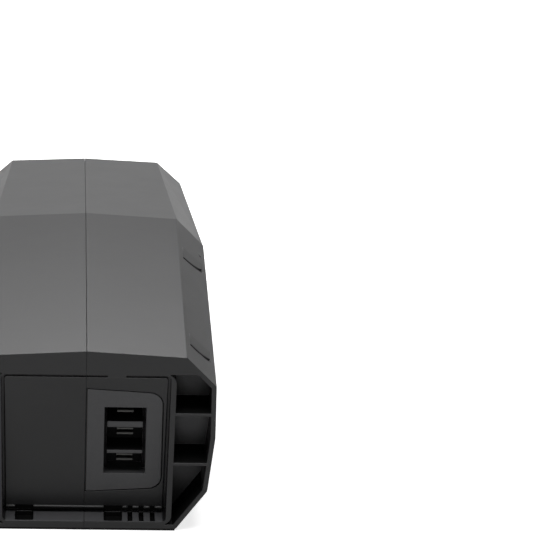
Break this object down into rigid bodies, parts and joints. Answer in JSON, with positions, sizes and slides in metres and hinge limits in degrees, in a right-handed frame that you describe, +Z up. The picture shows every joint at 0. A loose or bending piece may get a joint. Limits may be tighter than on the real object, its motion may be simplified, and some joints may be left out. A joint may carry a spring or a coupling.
{
  "type": "electric bicycle downtube battery",
  "caption": "Faceted black downtube battery for an electric bicycle, with a ribbed docking end, a flush three-blade socket, a charge port under a hinged cover and a power button.",
  "frame": {"origin": "centre of the bounding box's bottom, on the underside of the foam pad that the battery lies on", "axes": "+Y along the battery from the docking end to the lock end, +Z up away from the flat back towards the roof, +X to the right when looking at the docking end along +Y"},
  "size_m": [0.12, 0.372, 0.0873],
  "materials": {
    "shell_plastic": "fine spark-eroded texture",
    "socket_plastic": "fine matte",
    "contact_metal": "tin plated",
    "steel": "zinc plated",
    "seal_rubber": "matte",
    "foam": "closed-cell foam",
    "holder_plastic": "moulded",
    "cell_wrap": "shrunk film",
    "nickel": "rolled",
    "insulating_paper": "pressed board",
    "circuit_board": "solder mask",
    "component_black": "moulded epoxy",
    "connector_ivory": "moulded",
    "spreader_aluminium": "milled",
    "lead_insulation": "silicone",
    "ribbon_insulation": "flat ribbon",
    "fuse_plastic": "tinted",
    "lens_plastic": "smoked",
    "light_white": "resin",
    "button_rubber": "fine matte"
  },
  "bodies": {
    "housing": {"left_shell": "shell_plastic", "right_shell": "shell_plastic", "seam_gasket": "seal_rubber", "case_screws": "steel", "back_pad": "foam", "socket_housing": "socket_plastic", "positive_fork": "contact_metal", "signal_fork": "contact_metal", "negative_fork": "contact_metal", "socket_retainer": "steel", "retainer_screws": "steel", "left_cell_holder": "holder_plastic", "right_cell_holder": "holder_plastic", "top_row_cells": "cell_wrap", "middle_row_cells": "cell_wrap", "bottom_row_cells": "cell_wrap", "left_busbars": "nickel", "right_busbars": "nickel", "left_insulation": "insulating_paper", "right_insulation": "insulating_paper", "upper_foam": "foam", "lower_foam": "foam", "board_tray": "holder_plastic", "management_board": "circuit_board", "power_transistors": "component_black", "board_connectors": "connector_ivory", "heat_spreader": "spreader_aluminium", "board_screws": "steel", "sense_ribbon": "ribbon_insulation", "socket_leads": "lead_insulation", "charge_leads": "lead_insulation", "gauge_lead": "ribbon_insulation", "fuse_holder": "component_black", "blade_fuse": "fuse_plastic", "strike_bush": "steel", "vent_plug": "button_rubber", "charge_socket": "component_black", "charge_pin": "contact_metal", "charge_nut": "steel", "charge_hinge_pin": "steel", "gauge_lens": "lens_plastic", "gauge_board": "circuit_board", "gauge_lights": "light_white", "switch_body": "component_black", "gauge_screws": "steel"},
    "cover": {"charge_cover": "button_rubber"},
    "button": {"power_button": "button_rubber", "switch_plunger": "connector_ivory"}
  },
  "joints": [
    {"name": "cover_hinge", "type": "hinge", "parent": "housing", "child": "cover", "pos_m": [-0.0586, -0.1262, 0.05825], "axis": [0, 0, 1], "range_deg": [0, 110]},
    {"name": "button_press", "type": "slide", "parent": "housing", "child": "button", "axis": [1, 0, 0], "range_m": [0, 0.0006], "stiffness_N_per_m": 3000, "springref_m": -0.0003}
  ]
}
